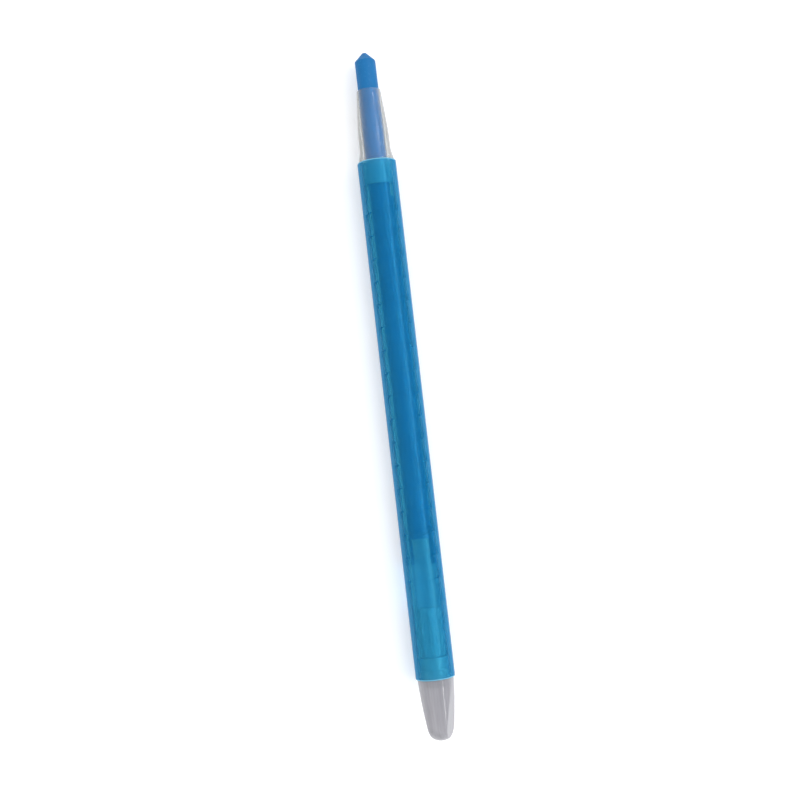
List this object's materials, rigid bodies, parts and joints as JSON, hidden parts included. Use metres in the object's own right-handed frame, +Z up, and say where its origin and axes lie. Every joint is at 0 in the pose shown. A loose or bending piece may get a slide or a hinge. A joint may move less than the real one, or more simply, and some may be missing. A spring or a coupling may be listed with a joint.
{
  "type": "twist-up fabric marking crayon",
  "caption": "Slim twist-up marking crayon: see-through barrel, clear tapered nozzle, solid marking stick and a chisel-shaped twist knob that feeds it.",
  "frame": {"origin": "middle of the pen's length, on the surface that the barrel lies on", "axes": "+Y along the pen towards the crayon's tip, +Z up; the pen's axis is at x = 0, z = 4.5 mm"},
  "size_m": [0.009, 0.1586, 0.009],
  "materials": {
    "barrel_plastic": "translucent blue, satin",
    "clear_plastic": "clear with a faint grey tint, polished",
    "tube_plastic": "natural, clear to milky",
    "carrier_plastic": "blue, satin",
    "marking_wax": "waxy blue, satin, slightly scuffed"
  },
  "bodies": {
    "barrel": {"barrel": "barrel_plastic"},
    "core": {"nozzle": "clear_plastic", "guide_tube": "tube_plastic", "knob": "clear_plastic"},
    "feed": {"carrier": "carrier_plastic", "crayon": "marking_wax"}
  },
  "joints": [
    {"name": "knob_twist", "type": "hinge", "parent": "barrel", "child": "core", "pos_m": [0, 0, 0.0045], "axis": [0, 1, 0], "range_deg": [-657, 5172]},
    {"name": "crayon_feed", "type": "slide", "parent": "core", "child": "feed", "axis": [0, 1, 0], "range_m": [-0.00957, 0.07541]}
  ],
  "couplings": [
    {"joint": "knob_twist", "follows": "crayon_feed", "rad_per_m": 1196.8}
  ]
}
